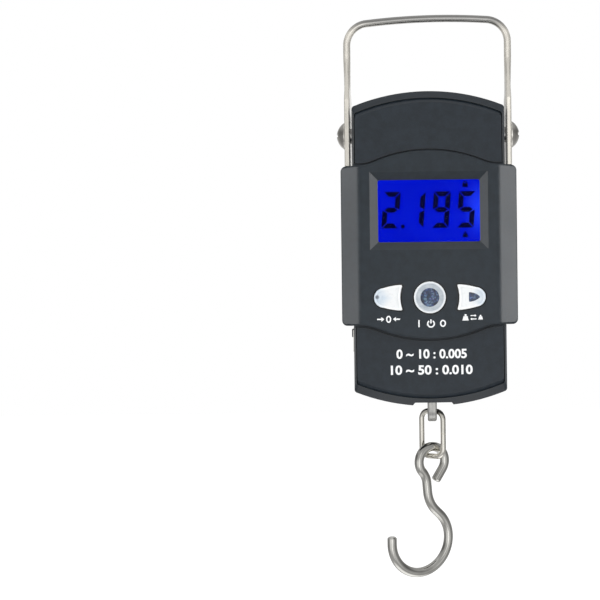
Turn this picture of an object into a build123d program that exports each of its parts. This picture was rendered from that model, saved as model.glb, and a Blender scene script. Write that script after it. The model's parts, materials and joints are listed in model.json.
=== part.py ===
"""Digital fish scale: bail, case, display, buttons, load cell, pull-out tape, link and hook.

Millimetres. +X is to the right of a person reading the display, +Y points away from them
and +Z is up. The load hangs in the plane Y = 0. Every function works about the centre of the
case outline, and save() then lowers the finished piece, so that the origin is the grip of the bail.
"""

from build123d import *
from math import asin, atan2, cos, pi, radians, sin, sqrt
import os

# Grip of the bail, measured up from the centre of the case
GRIP_Z = 88.3

# Case: narrow body of two half shells, with shallow arcs at both ends
CASE_HALF_W = 28.4
CASE_CORNER_Z = 53.0
CASE_END_Z = 58.6
CASE_CORNER_R = 1.3
FRONT_Y = -12.9
PARTING_Y = -3.0
BACK_Y = 12.1
SIDE_WALL = 2.0
END_WALL = 3.4
FACE_WALL = 2.0
BEVEL_DEPTH = 3.0
FRONT_END_BEVEL = 3.0
FRONT_SIDE_BEVEL = 1.0
BACK_BEVEL = 2.4
SEAM = 0.25
NOTCH_CEILING_Z = -57.2
NOTCH_HALF_W = 7.2
NOTCH_X = 0.9
FRONT_INSIDE_Y = FRONT_Y + FACE_WALL
BACK_INSIDE_Y = BACK_Y - FACE_WALL
GAP = 0.1
FACE_STEP = 0.7
FACE_SLOPE_SIDE = 0.35
FACE_SLOPE_END = 1.6
FASCIA_GROOVE_W = 0.8
FASCIA_GROOVE_DEPTH = 1.1

# Fascia: wide middle panel with slanted wings
FASCIA_Y = -15.4
FASCIA_REAR_Y = -4.4
FASCIA_HALF_W = 32.7
SHOULDER_TOP_Z = 30.75
SHOULDER_BOTTOM_Z = -28.4
SHOULDER_X = 25.3
CROWN_TOP_RISE = 5.2
CROWN_BOTTOM_RISE = 5.1
CROWN_R = 51.0
SHOULDER_CORNER_R = 2.0
WING_START_X = 25.7
WING_EDGE_Y = -10.6
WING_CREASE_R = 4.0
FASCIA_BEVEL = 0.9

# Display stack, front to back
DISPLAY_Z = 13.75
RECESS = (43.4, 28.6)
WINDOW = (37.6, 22.9)
RECESS_DEPTH = 1.8
LENS = (43.0, 28.0, 1.0)
GLASS = (42.0, 28.0, 2.2)
GLASS_Y = -11.85
HOLDER_WALL = 1.1
BOARD_FRONT_Y = -8.1
BOARD_T = 1.6
BOARD_HALF_W = 24.0
BOARD_Z = (-27.0, 35.5)

# Buttons
BUTTON_Z = -18.2
POWER_R = 5.85
POWER_LENS_R = 3.45
SIDE_BUTTON_IN_X = 9.9
SIDE_BUTTON_OUT_X = 20.45
SIDE_BUTTON_HALF_H = 4.75
BUTTON_TOP_Y = -16.1
BUTTON_GAP = 0.45
FLANGE = 0.9
FLANGE_T = 0.8
SWITCH_TOP_Y = -10.0
TACT_SWITCH_X = 14.6

# Bail and its pivot
PIVOT_Z = 43.7
ROD_R = 1.35
ROD_X = 30.7
BLADE_X = 30.5
BLADE_T = 2.1
BLADE_HALF_W = 5.5
BLADE_END_R = 13.2
BLADE_TOP_Z = 57.0
ROD_START_Z = 73.0
BEND_R = 8.4
ARCH_R = 250.0
ARCH_TILT = 1.3
SHAFT_R = 2.5
SHANK_R = 2.0
HEAD_R = 5.0
HEAD_H = 3.2

# Load cell and its pull tab
CELL_X = 0.4
CELL_T = 3.5
CELL_HALF_D = 5.0
CELL_TOP_Z = 49.5
CELL_WINDOW = (12.0, 7.2)
CELL_WINDOW_Z = 14.0
TAB_HOLE_R = 3.1
TAB_HOLE_Z = -60.25
TAB_END_Z = -65.5
TAB_END_ROUND = 0.7

# Battery compartment
AAA_R = 5.2
AAA_X = 8.7
AAA_Y = 4.65
TROUGH_Z = (-22.0, 29.0)
TROUGH_HALF_W = 5.45
DOOR_HALF_W = 15.3
DOOR_Z = (-24.0, 30.0)
DOOR_T = 1.75

# Pull-out tape
DRUM_X = -13.5
DRUM_Z = -35.1
DRUM_FLANGE_R = 8.1
COIL_R = 7.1
TAPE_W = 6.0
TAPE_T = 0.16
TAPE_INSIDE_END_X = 25.3

# Link and hook, both turned a little about the vertical so that they interlock
LINK_WIRE_R = 1.03
LINK_HALF_W = 4.69
LINK_TOP_Z = -61.6
LINK_BOTTOM_Z = -78.8
LINK_BEND_R = 3.1
LINK_TURN = -30.0
LINK_X = 0.4
LINK_JOINT_Z = -69.8
LINK_JOINT_GAP = 0.12
HOOK_WIRE_R = 1.8
HOOK_TURN = 30.0
HOOK_END_CHAMFER = 0.5

# Screws
POST_XZ = [(x, z) for x in (-21.6, 21.6) for z in (-49.6, 49.6)]
BOARD_SCREW_XZ = [(x, z) for x in (-21.0, 21.0) for z in (-24.3, 32.6)]


def slab(face, y_front, y_back):
    """A flat outline, drawn with x right and y up, made solid from y_front to y_back."""
    return extrude(Plane.XZ.offset(-y_back) * face, amount=y_back - y_front)


def block(x, y, z):
    """A box from its (low, high) pairs."""
    size = [high - low for low, high in (x, y, z)]
    middle = [(high + low) / 2 for low, high in (x, y, z)]
    return Pos(*middle) * Box(*size)


def rod_y(radius, x, z, y_front, y_back):
    """A round bar along Y."""
    return slab(Pos(x, z) * Circle(radius), y_front, y_back)


def rod_x(radius, x_low, x_high, z=PIVOT_Z):
    """A round bar along X, in the load plane."""
    return Pos((x_low + x_high) / 2, 0, z) * Rot(0, 90, 0) * Cylinder(radius, x_high - x_low)


def rod_z(radius, x, y, z_low, z_high):
    """A round bar along Z."""
    return Pos(x, y, (z_low + z_high) / 2) * Cylinder(radius, z_high - z_low)


def both_sides(piece):
    """The piece and its mirror image in X, as separate solids."""
    return Compound(children=[piece, mirror(piece, about=Plane.YZ)])


# Case ---------------------------------------------------------------------------------------


def case_outline(side=0.0, end=0.0):
    """The narrow case seen from the front, brought in by side at the flanks and end at the arcs."""
    w, corner, crown = CASE_HALF_W - side, CASE_CORNER_Z - end, CASE_END_Z - end
    outline = make_face(
        [
            Line((-w, -corner), (-w, corner)),
            ThreePointArc((-w, corner), (0, crown), (w, corner)),
            Line((w, corner), (w, -corner)),
            ThreePointArc((w, -corner), (0, -crown), (-w, -corner)),
        ]
    )
    return fillet(outline.vertices(), CASE_CORNER_R)


def bevelled_shell(face_y, side_bevel, end_bevel):
    """Outside of one half: a slab up to the bevel, and a tapered cap from there to the face."""
    out = -1 if face_y < PARTING_Y else 1
    bevel_y = face_y - out * BEVEL_DEPTH
    seam_y = PARTING_Y + out * SEAM
    body = slab(case_outline(), min(seam_y, bevel_y), max(seam_y, bevel_y))
    rim = slab(case_outline(SEAM, SEAM), min(seam_y, PARTING_Y), max(seam_y, PARTING_Y))
    wide = Plane.XZ.offset(-bevel_y) * case_outline()
    small = Plane.XZ.offset(-face_y) * case_outline(side_bevel, end_bevel)
    return body + rim + loft([wide, small], ruled=True)


def cavity(y_front, y_back):
    return slab(case_outline(SIDE_WALL, END_WALL), y_front, y_back)


def pull_tab_notch():
    """The shallow notch in the lower end and the slot that the pull tab comes out of."""
    flare = 1.4
    low = -CASE_END_Z - 1
    sides = [
        (-NOTCH_HALF_W - flare, low),
        (-NOTCH_HALF_W + 0.4, NOTCH_CEILING_Z),
        (NOTCH_HALF_W - 0.4, NOTCH_CEILING_Z),
        (NOTCH_HALF_W + flare, low),
    ]
    notch = Pos(NOTCH_X, 0, 0) * slab(make_face(Polyline(*sides, close=True)), FRONT_Y - 1, BACK_Y + 1)
    slot_x = CELL_T / 2 + 0.4
    slot_y = CELL_HALF_D + 0.4
    return notch + block((CELL_X - slot_x, CELL_X + slot_x), (-slot_y, slot_y), (-60, -54))


def shadow_grooves():
    """A step at the foot of the front bevel, which slopes back up to the face, and a line at the fascia."""
    step_y = FRONT_Y + FACE_STEP
    edge = (FRONT_SIDE_BEVEL, FRONT_END_BEVEL)
    foot = Plane.XZ.offset(-step_y) * case_outline(*edge)
    crest = Plane.XZ.offset(-FRONT_Y) * case_outline(edge[0] + FACE_SLOPE_SIDE, edge[1] + FACE_SLOPE_END)
    step = slab(case_outline(*edge), FRONT_Y, step_y) - loft([foot, crest], ruled=True)
    line = offset(fascia_outline(), FASCIA_GROOVE_W) - offset(fascia_outline(), -FASCIA_GROOVE_W)
    return step + slab(line, FRONT_Y - 1, FRONT_Y + FASCIA_GROOVE_DEPTH)


def front_cover():
    cover = bevelled_shell(FRONT_Y, FRONT_SIDE_BEVEL, FRONT_END_BEVEL)
    cover -= shadow_grooves()
    cover -= cavity(FRONT_INSIDE_Y, PARTING_Y + 1)
    for x, z in POST_XZ:
        cover += rod_y(3.0, x, z, FRONT_INSIDE_Y - 0.5, PARTING_Y)
        cover -= rod_y(1.27, x, z, -9.5, PARTING_Y + 1)
    for x, z in BOARD_SCREW_XZ:
        cover += rod_y(2.2, x, z, FRONT_INSIDE_Y - 0.5, BOARD_FRONT_Y)
        cover -= rod_y(0.72, x, z, FRONT_INSIDE_Y - 0.4, BOARD_FRONT_Y + 1)
    through = (FRONT_Y - 1, FRONT_INSIDE_Y + 0.5)
    display = RectangleRounded(45.0, 31.0, 1.0)
    cover -= slab(Pos(0, DISPLAY_Z) * display, *through)
    cover -= rod_y(POWER_R + 1.7, 0, BUTTON_Z, *through)
    for side in (-1, 1):
        cover -= slab(side_button_outline(side, 1.4), *through)
    return cover - pull_tab_notch()


def back_cover():
    cover = bevelled_shell(BACK_Y, BACK_BEVEL, BACK_BEVEL)
    cover -= cavity(PARTING_Y - 1, BACK_INSIDE_Y)
    for x, z in POST_XZ:
        cover += rod_y(3.2, x, z, PARTING_Y, BACK_INSIDE_Y + 0.5)
        cover -= rod_y(1.5, x, z, PARTING_Y - 1, BACK_Y)
        cover -= rod_y(2.7, x, z, 6.1, BACK_Y + 1)
    cover += battery_compartment()
    cover -= battery_space()
    cover += drum_ribs()
    cover -= rod_x(SHAFT_R + 0.1, -CASE_HALF_W - 1, CASE_HALF_W + 1)
    tape_mouth = (-CASE_HALF_W - 1, -CASE_HALF_W + SIDE_WALL + 1)
    cover -= block(tape_mouth, (6.5, 7.9), (DRUM_Z - 3.7, DRUM_Z + 3.7))
    return cover - pull_tab_notch()


def case_screws():
    screws = []
    for x, z in POST_XZ:
        screw = rod_y(1.25, x, z, -9.0, 6.1) + rod_y(2.4, x, z, 6.1, 8.1)
        for width, height in ((2.8, 0.7), (0.7, 2.8)):
            screw -= slab(Pos(x, z) * Rectangle(width, height), 7.0, 8.2)
        screws.append(screw)
    return Compound(children=screws)


# Fascia -------------------------------------------------------------------------------------


def crown(shoulder_z, rise, up):
    """One end of the fascia: shoulder, hollow curve, crown arc, hollow curve, shoulder.

    The crown arc and the two hollow curves are tangent, and the hollow ones run into the shoulder.
    """
    both_r = (SHOULDER_X**2 + rise**2) / (2 * rise)
    hollow_r = both_r - CROWN_R
    share = CROWN_R / both_r
    top_z = shoulder_z + up * rise
    centre_z = top_z - up * CROWN_R
    hollow_z = shoulder_z + up * hollow_r
    join = (SHOULDER_X * share, centre_z + (hollow_z - centre_z) * share)
    half_turn = asin(SHOULDER_X / both_r) / 2
    mid_x = SHOULDER_X - hollow_r * sin(half_turn)
    mid_z = hollow_z - up * hollow_r * cos(half_turn)
    edges = []
    for side in (-1, 1):
        edges.append(Line((side * FASCIA_HALF_W, shoulder_z), (side * SHOULDER_X, shoulder_z)))
        edges.append(
            ThreePointArc(
                (side * SHOULDER_X, shoulder_z),
                (side * mid_x, mid_z),
                (side * join[0], join[1]),
            )
        )
    edges.append(ThreePointArc((-join[0], join[1]), (0, top_z), join))
    return edges


def fascia_outline():
    edges = crown(SHOULDER_TOP_Z, CROWN_TOP_RISE, 1) + crown(SHOULDER_BOTTOM_Z, CROWN_BOTTOM_RISE, -1)
    for side in (-1, 1):
        x = side * FASCIA_HALF_W
        edges.append(Line((x, SHOULDER_BOTTOM_Z), (x, SHOULDER_TOP_Z)))
    outline = make_face(edges)
    corners = [v for v in outline.vertices() if abs(v.X) > FASCIA_HALF_W - 0.1]
    return fillet(corners, SHOULDER_CORNER_R)


def fascia_section():
    """The fascia seen from above: flat front, slanted wings, straight flanks."""
    points = [
        (-FASCIA_HALF_W, FASCIA_REAR_Y),
        (-FASCIA_HALF_W, WING_EDGE_Y),
        (-WING_START_X, FASCIA_Y),
        (WING_START_X, FASCIA_Y),
        (FASCIA_HALF_W, WING_EDGE_Y),
        (FASCIA_HALF_W, FASCIA_REAR_Y),
    ]
    section = make_face(Polyline(*points, close=True))
    return fillet([v for v in section.vertices() if v.Y < FASCIA_Y + 0.1], WING_CREASE_R)


def front_rim(panel):
    """The edges round the front of the fascia: both crowned ends and the two flanks."""
    rim = []
    for edge in panel.edges():
        size, middle = edge.bounding_box().size, edge.center()
        across = size.X > 0.01 and size.Z < 40 and middle.Y < FASCIA_REAR_Y - 0.7
        flank = size.Z > 40 and abs(middle.X) > FASCIA_HALF_W - 0.1 and middle.Y < FASCIA_REAR_Y - 0.7
        if across or flank:
            rim.append(edge)
    return rim


def fascia():
    section = extrude(Pos(0, 0, -CASE_END_Z) * fascia_section(), amount=2 * CASE_END_Z)
    panel = section & slab(fascia_outline(), FASCIA_Y - 1, FASCIA_REAR_Y + 1)
    panel = fillet(front_rim(panel), FASCIA_BEVEL)
    panel -= slab(case_outline(-GAP, -GAP), FRONT_Y - GAP, BACK_Y)
    panel -= wing_pockets()
    wide = Plane.XZ.offset(-FASCIA_Y) * (Pos(0, DISPLAY_Z) * Rectangle(*RECESS))
    small = Plane.XZ.offset(-FASCIA_Y - RECESS_DEPTH) * (Pos(0, DISPLAY_Z) * Rectangle(*WINDOW))
    panel -= loft([wide, small], ruled=True)
    through = (FASCIA_Y - 1, FRONT_Y)
    panel -= slab(Pos(0, DISPLAY_Z) * RectangleRounded(*WINDOW, 0.8), *through)
    panel -= rod_y(POWER_R + BUTTON_GAP, 0, BUTTON_Z, *through)
    for side in (-1, 1):
        panel -= slab(side_button_outline(side, BUTTON_GAP), *through)
    return panel


def wing_pockets():
    """The hollows behind the wings, so that the fascia has an even wall."""
    pocket = make_face(
        Polyline((26.5, -12.6), (30.5, -9.7), (30.5, -6.4), (26.5, -6.4), close=True)
    )
    bar = extrude(Pos(0, 0, SHOULDER_BOTTOM_Z + 2.4) * pocket, amount=54.8)
    return bar + mirror(bar, about=Plane.YZ)


# Display and board --------------------------------------------------------------------------


def display_window():
    width, height, thick = LENS
    front = FRONT_Y - GAP + 0.02
    return slab(Pos(0, DISPLAY_Z) * RectangleRounded(width, height, 0.8), front, front + thick)


def lcd_glass():
    width, height, thick = GLASS
    return slab(Pos(0, DISPLAY_Z) * Rectangle(width, height), GLASS_Y, GLASS_Y + thick)


def backlight():
    width, height, thick = GLASS
    return block(
        (-width / 2, width / 2),
        (GLASS_Y + thick + 0.03, BOARD_FRONT_Y - 0.03),
        (DISPLAY_Z - height / 2 + 2.6, DISPLAY_Z + height / 2),
    )


def zebra_strip():
    width, height, thick = GLASS
    bottom = DISPLAY_Z - height / 2
    return block(
        (-width / 2 + 1, width / 2 - 1), (GLASS_Y + thick, BOARD_FRONT_Y), (bottom + 0.3, bottom + 2.3)
    )


def lcd_holder():
    width, height, _ = GLASS
    clear = 0.1
    outer = Rectangle(width + 2 * (clear + HOLDER_WALL), height + 2 * (clear + HOLDER_WALL))
    inner = Rectangle(width + 2 * clear, height + 2 * clear)
    return slab(Pos(0, DISPLAY_Z) * (outer - inner), GLASS_Y, BOARD_FRONT_Y)


def circuit_board():
    low, high = BOARD_Z
    board = block((-BOARD_HALF_W, BOARD_HALF_W), (BOARD_FRONT_Y, BOARD_FRONT_Y + BOARD_T), (low, high))
    board = fillet(board.edges().filter_by(Axis.Y), 1.5)
    for x, z in BOARD_SCREW_XZ:
        board -= rod_y(0.9, x, z, BOARD_FRONT_Y - 1, BOARD_FRONT_Y + BOARD_T + 1)
    return board


def board_screws():
    back = BOARD_FRONT_Y + BOARD_T
    screws = []
    for x, z in BOARD_SCREW_XZ:
        screw = rod_y(0.7, x, z, FRONT_INSIDE_Y, back) + rod_y(1.6, x, z, back, back + 1.1)
        for width, height in ((1.8, 0.45), (0.45, 1.8)):
            screw -= slab(Pos(x, z) * Rectangle(width, height), back + 0.6, back + 1.2)
        screws.append(screw)
    return Compound(children=screws)


def chips():
    back = BOARD_FRONT_Y + BOARD_T
    controller = block((7, 17), (back, back + 1.2), (2, 12))
    converter = block((-15, -10), (back, back + 1.2), (4, 10))
    regulator = block((-9, -6), (back, back + 1.0), (-8, -5))
    return Compound(children=[controller, converter, regulator])


def switch_housings():
    switches = []
    for x in (-TACT_SWITCH_X, 0, TACT_SWITCH_X):
        switch = slab(Pos(x, BUTTON_Z) * RectangleRounded(5.0, 5.0, 0.5), SWITCH_TOP_Y, BOARD_FRONT_Y)
        switches.append(switch - rod_y(1.1, x, BUTTON_Z, SWITCH_TOP_Y - 1, BOARD_FRONT_Y - 0.5))
    return Compound(children=switches)


# Buttons ------------------------------------------------------------------------------------


def side_button_outline(side, grow=0.0):
    """A blunt bullet pointing away from the power button, its inner end hollowed to clear it."""
    inner, outer, half = SIDE_BUTTON_IN_X, SIDE_BUTTON_OUT_X, SIDE_BUTTON_HALF_H
    tip_x, tip_half = inner + 7.2, 3.6
    outline = make_face(
        [
            ThreePointArc((inner, half), (inner + 0.9, 0), (inner, -half)),
            ThreePointArc((inner, -half), (inner + 3.6, -half + 0.33), (tip_x, -tip_half)),
            ThreePointArc((tip_x, -tip_half), (outer, 0), (tip_x, tip_half)),
            ThreePointArc((tip_x, tip_half), (inner + 3.6, half - 0.33), (inner, half)),
        ]
    )
    corners = [v for v in outline.vertices() if v.X < inner + 0.1]
    outline = fillet(corners, 0.5)
    if grow:
        outline = offset(outline, grow)
    outline = Pos(0, BUTTON_Z) * outline
    return outline if side > 0 else mirror(outline, about=Plane.YZ)


def button_cap(shape, dish, flange, lens=None):
    """A cap with a rounded rim, a shallow dish, a flange behind the fascia and a rear boss."""
    cap = slab(shape, BUTTON_TOP_Y, FRONT_Y)
    rim = cap.faces().sort_by(Axis.Y)[0].edges()
    cap = fillet(rim, 0.35)
    cap -= slab(dish, BUTTON_TOP_Y - 1, BUTTON_TOP_Y + 0.3)
    cap += slab(flange, FRONT_Y, FRONT_Y + FLANGE_T)
    if lens is not None:
        cap -= slab(lens, BUTTON_TOP_Y - 1, BUTTON_TOP_Y + 1.2)
    return cap


def cap_boss(x):
    return rod_y(1.5, x, BUTTON_Z, FRONT_Y, SWITCH_TOP_Y - 1.0)


def power_cap():
    shape, dish, flange, lens = (
        Pos(0, BUTTON_Z) * Circle(r) for r in (POWER_R, POWER_R - 0.9, POWER_R + FLANGE, POWER_LENS_R)
    )
    return button_cap(shape, dish, flange, lens) + cap_boss(0)


def power_lens():
    return rod_y(POWER_LENS_R - 0.02, 0, BUTTON_Z, BUTTON_TOP_Y + 0.25, BUTTON_TOP_Y + 1.2)


def side_cap(side, lens=None):
    shape, dish, flange = (side_button_outline(side, grow) for grow in (0, -0.9, FLANGE))
    return button_cap(shape, dish, flange, lens) + cap_boss(side * TACT_SWITCH_X)


def unit_lens_outline(grow=0.0):
    """A small window, flat on its inner side and drawn to a blunt point on its outer side."""
    flat_x, tip_x, half = 14.3, 18.5, 1.75
    shoulder = (flat_x + 2.3, half * 0.74)
    outline = make_face(
        [
            Line((flat_x, -half), (flat_x, half)),
            ThreePointArc((flat_x, half), shoulder, (tip_x, 0)),
            ThreePointArc((tip_x, 0), (shoulder[0], -shoulder[1]), (flat_x, -half)),
        ]
    )
    outline = fillet(outline.vertices(), 0.3)
    if grow:
        outline = offset(outline, grow)
    return Pos(0, BUTTON_Z) * outline


def unit_lens():
    return slab(unit_lens_outline(-0.02), BUTTON_TOP_Y + 0.25, BUTTON_TOP_Y + 1.2)


def plunger(x):
    return rod_y(1.0, x, BUTTON_Z, SWITCH_TOP_Y - 1.0, SWITCH_TOP_Y + 0.6)


# Bail, pivot and load cell ------------------------------------------------------------------


def bail_bend(side, arch_x, arch_z):
    """Where one leg ends, the middle of its bend, and where the bend runs into the arch."""
    reach = ARCH_R - BEND_R
    bend_x = side * (ROD_X - BEND_R)
    off_x = bend_x - arch_x
    off_z = sqrt(reach**2 - off_x**2)
    bend_z = arch_z + off_z
    leg_angle = 0 if side > 0 else pi
    half_way = (leg_angle + atan2(off_z, off_x)) / 2
    knee = (side * ROD_X, 0, bend_z)
    middle = (bend_x + BEND_R * cos(half_way), 0, bend_z + BEND_R * sin(half_way))
    join = (arch_x + off_x * ARCH_R / reach, 0, arch_z + off_z * ARCH_R / reach)
    return knee, middle, join


def bail():
    """The rod: two upright legs, two bends and a slightly arched grip that leans to one side."""
    arch_x = ARCH_R * sin(radians(ARCH_TILT))
    arch_z = GRIP_Z - ARCH_R * cos(radians(ARCH_TILT))
    left_knee, left_middle, left_join = bail_bend(-1, arch_x, arch_z)
    right_knee, right_middle, right_join = bail_bend(1, arch_x, arch_z)
    route = Wire(
        [
            Line((ROD_X, 0, ROD_START_Z), right_knee),
            ThreePointArc(right_knee, right_middle, right_join),
            ThreePointArc(right_join, (0, 0, GRIP_Z), left_join),
            ThreePointArc(left_join, left_middle, left_knee),
            Line(left_knee, (-ROD_X, 0, ROD_START_Z)),
        ]
    )
    rod = sweep(Pos(ROD_X, 0, ROD_START_Z) * Circle(ROD_R), path=route)
    blade = bail_blade()
    return rod + blade + mirror(blade, about=Plane.YZ)


def bail_blade():
    """The flattened end of one leg, with its pivot hole, and the taper up to the round rod."""
    flat = Pos(BLADE_X, 0, BLADE_TOP_Z) * RectangleRounded(BLADE_T, 2 * BLADE_HALF_W, 0.6)
    taper = loft([flat, Pos(ROD_X, 0, ROD_START_Z) * Circle(ROD_R)], ruled=True)
    inside, outside = BLADE_X - BLADE_T / 2, BLADE_X + BLADE_T / 2
    width = (-BLADE_HALF_W, BLADE_HALF_W)
    plate = block((inside, outside), width, (PIVOT_Z - BLADE_END_R - 1, BLADE_TOP_Z))
    plate = fillet(plate.edges().filter_by(Axis.Z), 0.6)
    above = block((inside, outside), width, (PIVOT_Z, BLADE_TOP_Z))
    plate &= above + rod_x(BLADE_END_R, inside, outside)
    hole = rod_x(SHANK_R + 0.06, inside - 1, outside + 1)
    return plate + taper - hole


def pivot_shaft():
    shaft = rod_x(SHAFT_R, -CASE_HALF_W + 0.05, CASE_HALF_W - 0.05)
    for side in (-1, 1):
        low, high = sorted((side * 21.5, side * 30))
        shaft -= rod_x(SHANK_R + 0.01, low, high)
    return shaft


def pivot_screws():
    """Domed heads with a cross recess, on shanks that screw into the shaft."""
    head_x = BLADE_X + BLADE_T / 2 + 0.05
    rim_x, crown_x = head_x + 0.4, head_x + HEAD_H
    dome_h = crown_x - rim_x
    ball_r = (HEAD_R**2 + dome_h**2) / (2 * dome_h)
    half_turn = asin(HEAD_R / ball_r) / 2
    dome = (crown_x - ball_r * (1 - cos(half_turn)), ball_r * sin(half_turn))
    shank = [(crown_x, 0), (22.0, 0), (22.0, SHANK_R), (head_x, SHANK_R)]
    half = Polyline(*shank, (head_x, HEAD_R), (rim_x, HEAD_R))
    half += ThreePointArc((rim_x, HEAD_R), dome, (crown_x, 0))
    screw = Pos(0, 0, PIVOT_Z) * revolve(Plane.XZ * make_face(half), Axis.X)
    for width, height in ((5.2, 1.0), (1.0, 5.2)):
        screw -= block(
            (head_x + HEAD_H - 1.7, head_x + HEAD_H + 1),
            (-width / 2, width / 2),
            (PIVOT_Z - height / 2, PIVOT_Z + height / 2),
        )
    return both_sides(screw)


def pivot_spacers():
    low, high = CASE_HALF_W + 0.05, BLADE_X - BLADE_T / 2 - 0.05
    return both_sides(rod_x(2.9, low, high) - rod_x(SHANK_R + 0.02, low - 1, high + 1))


def shaft_collars():
    low = CELL_T / 2 + 0.05
    pair = both_sides(rod_x(4.2, low, low + 3) - rod_x(SHAFT_R + 0.01, low - 1, low + 4))
    return Pos(CELL_X, 0, 0) * pair


def load_cell():
    """A plate in the YZ plane: shaft hole, thin-walled window for the gauges, rounded pull tab."""
    tab_round_z = TAB_END_Z + CELL_HALF_D
    profile = make_face(
        [
            Line((-CELL_HALF_D, tab_round_z), (-CELL_HALF_D, CELL_TOP_Z)),
            Line((-CELL_HALF_D, CELL_TOP_Z), (CELL_HALF_D, CELL_TOP_Z)),
            Line((CELL_HALF_D, CELL_TOP_Z), (CELL_HALF_D, tab_round_z)),
            ThreePointArc((CELL_HALF_D, tab_round_z), (0, TAB_END_Z), (-CELL_HALF_D, tab_round_z)),
        ]
    )
    profile = fillet([v for v in profile.vertices() if v.Y > 0], 2.0)
    height, width = CELL_WINDOW
    profile -= Pos(0, CELL_WINDOW_Z) * RectangleRounded(width, height, 3.0)
    profile -= Pos(0, PIVOT_Z) * Circle(SHAFT_R + 0.02)
    profile -= Pos(0, TAB_HOLE_Z) * Circle(TAB_HOLE_R)
    plate = extrude(Plane.YZ.offset(CELL_X - CELL_T / 2) * profile, amount=CELL_T)
    arcs = plate.edges().filter_by(GeomType.CIRCLE)
    tab_end = [e for e in arcs if abs(e.radius - CELL_HALF_D) < 0.01]
    plate = fillet(tab_end, TAB_END_ROUND)
    small = [e for e in plate.edges().filter_by(GeomType.CIRCLE) if e.radius < TAB_HOLE_R + 0.1]
    hole_edges = [e for e in small if abs(e.arc_center.Z - TAB_HOLE_Z) < 0.01]
    return chamfer(hole_edges, 0.4)


def strain_gauges():
    gauges = []
    for side in (-1, 1):
        y = sorted((side * CELL_HALF_D, side * (CELL_HALF_D + 0.12)))
        gauges.append(block((CELL_X - 1.2, CELL_X + 1.2), y, (CELL_WINDOW_Z - 3.5, CELL_WINDOW_Z + 3.5)))
    return Compound(children=gauges)


def wire(radius, points, bend):
    """A round lead along a route with rounded corners."""
    path = FilletPolyline(*points, radius=bend)
    return sweep(Plane(origin=path @ 0, z_dir=path % 0) * Circle(radius), path=path)


def gauge_wires():
    """Leads from the front and rear gauges to the rear of the board."""
    front = wire(0.35, [(0.6, -5.7, 10.2), (0.6, -5.7, 2), (6.5, -5.7, -4), (6.5, -5.7, -12)], 1.5)
    rear = wire(0.35, [(-0.6, 5.7, 10.2), (-0.6, 5.7, -31.0 + 2), (-3.2, 5.7, -33.5 + 3)], 0.6)
    return Pos(CELL_X, 0, 0) * Compound(children=[front, rear])


# Battery ------------------------------------------------------------------------------------


def battery_compartment():
    """Two troughs side by side behind the board, with a bridge over the load cell between them."""
    walls = block((-16.8, 16.8), (-1.9, BACK_INSIDE_Y + 0.2), (DOOR_Z[0] - 1.6, DOOR_Z[1] + 1.6))
    for side in (-1, 1):
        x = sorted((side * (AAA_X - TROUGH_HALF_W), side * (AAA_X + TROUGH_HALF_W)))
        walls -= block(x, (-0.9, BACK_Y + 1), TROUGH_Z)
    channel = CELL_T / 2 + 0.3
    return walls - block((CELL_X - channel, CELL_X + channel), (-3, 6.6), (-60, 60))


def battery_space():
    """What is cut from the back wall: the seat of the door, the troughs and the door's hinge pockets."""
    seat_y = BACK_Y - DOOR_T - 0.05
    clear = 0.3
    space = block(
        (-DOOR_HALF_W - clear, DOOR_HALF_W + clear),
        (seat_y, BACK_Y + 1),
        (DOOR_Z[0] - clear, DOOR_Z[1] + clear),
    )
    for side in (-1, 1):
        x = sorted((side * (AAA_X - TROUGH_HALF_W), side * (AAA_X + TROUGH_HALF_W)))
        space += block(x, (-0.9, BACK_Y + 1), TROUGH_Z)
        x = sorted((side * 5.9, side * 11.5))
        space += block(x, (8.8, seat_y + 0.1), (DOOR_Z[0] - 1.2, TROUGH_Z[0] + 0.1))
    return space


def battery_door():
    """A flat door with two tongues at its foot, ribs inside and a ribbed finger pad at its head."""
    inside = BACK_Y - DOOR_T
    plate = block((-DOOR_HALF_W, DOOR_HALF_W), (inside, BACK_Y), DOOR_Z)
    plate = fillet(plate.edges().filter_by(Axis.Y), 1.2)
    for side in (-1, 1):
        x = sorted((side * 6.2, side * 11.2))
        tongue = block(x, (9.3, inside + 0.1), (DOOR_Z[0] + 0.1, DOOR_Z[0] + 1.4))
        tongue += block(x, (9.3, 10.2), (DOOR_Z[0] - 0.9, DOOR_Z[0] + 1.4))
        plate += tongue
    pad_z = DOOR_Z[1] - 6.5
    plate -= block((-6, 6), (BACK_Y - 0.6, BACK_Y + 1), (pad_z - 3, pad_z + 3))
    for step in range(4):
        z = pad_z - 2.1 + 1.4 * step
        plate += block((-5.4, 5.4), (BACK_Y - 0.7, BACK_Y - 0.1), (z - 0.3, z + 0.3))
    return plate


def battery_cells():
    """Two AAA cells, one nub up and one nub down."""
    cells = []
    for side in (-1, 1):
        low, high = (-18.5, 25.2) if side < 0 else (-18.2, 25.5)
        cell = rod_z(AAA_R, side * AAA_X, AAA_Y, low, high)
        cell = fillet(cell.edges().filter_by(GeomType.CIRCLE), 0.5)
        nub = (high, high + 0.8) if side < 0 else (low - 0.8, low)
        cells.append(cell + rod_z(1.9, side * AAA_X, AAA_Y, *nub))
    return Compound(children=cells)


def battery_springs():
    """Tapered coil springs against the flat ends of the cells."""
    springs = []
    for side, low in ((-1, TROUGH_Z[0] + 0.4), (1, 25.5)):
        height = 3.0
        coil = Helix(pitch=height / 3.2, height=height - 0.5, radius=2.6, center=(0, 0, 0.25))
        ring = Plane(origin=coil @ 0, z_dir=coil % 0) * Circle(0.22)
        spring = sweep(ring, path=coil, is_frenet=True)
        springs.append(Pos(side * AAA_X, AAA_Y, low + 0.05) * spring)
    return Compound(children=springs)


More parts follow.
